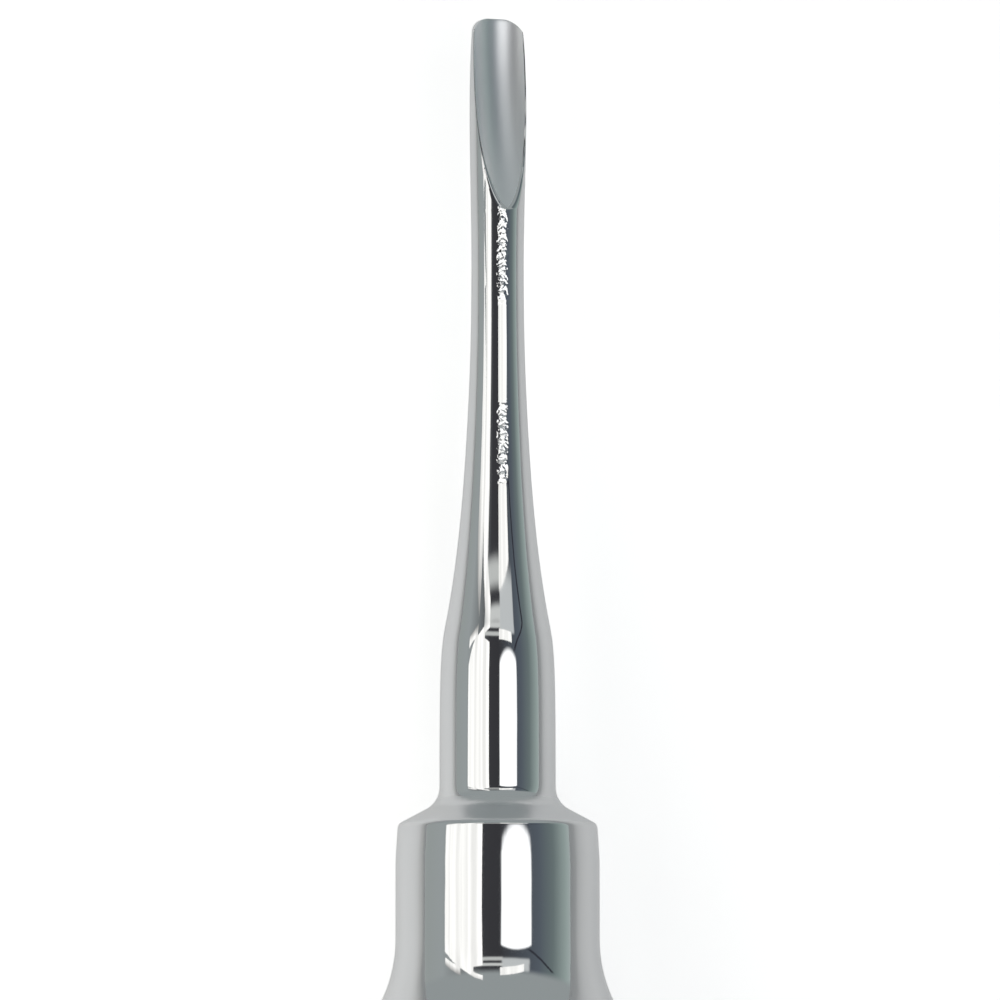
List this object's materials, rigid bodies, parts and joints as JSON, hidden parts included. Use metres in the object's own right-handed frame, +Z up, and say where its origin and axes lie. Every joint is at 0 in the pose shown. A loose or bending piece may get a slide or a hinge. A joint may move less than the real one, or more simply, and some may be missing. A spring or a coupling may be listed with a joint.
{
  "type": "dental elevator",
  "caption": "Straight dental elevator with a gouge blade, a slender round shank, a collar and a hollow faceted steel handle, lying on one flat.",
  "frame": {"origin": "middle of the instrument's bounding box on the surface that it lies on", "axes": "+Y along the instrument, from the butt towards the tip of the blade; +Z up, away from the flat that it lies on; the gouge faces up, turned 22.5 degrees from +Z towards +X"},
  "size_m": [0.0174, 0.152, 0.0174],
  "materials": {
    "polished_steel": "mirror polished"
  },
  "bodies": {
    "root": {"working_end": "polished_steel", "handle": "polished_steel", "end_cap": "polished_steel"}
  },
  "joints": []
}
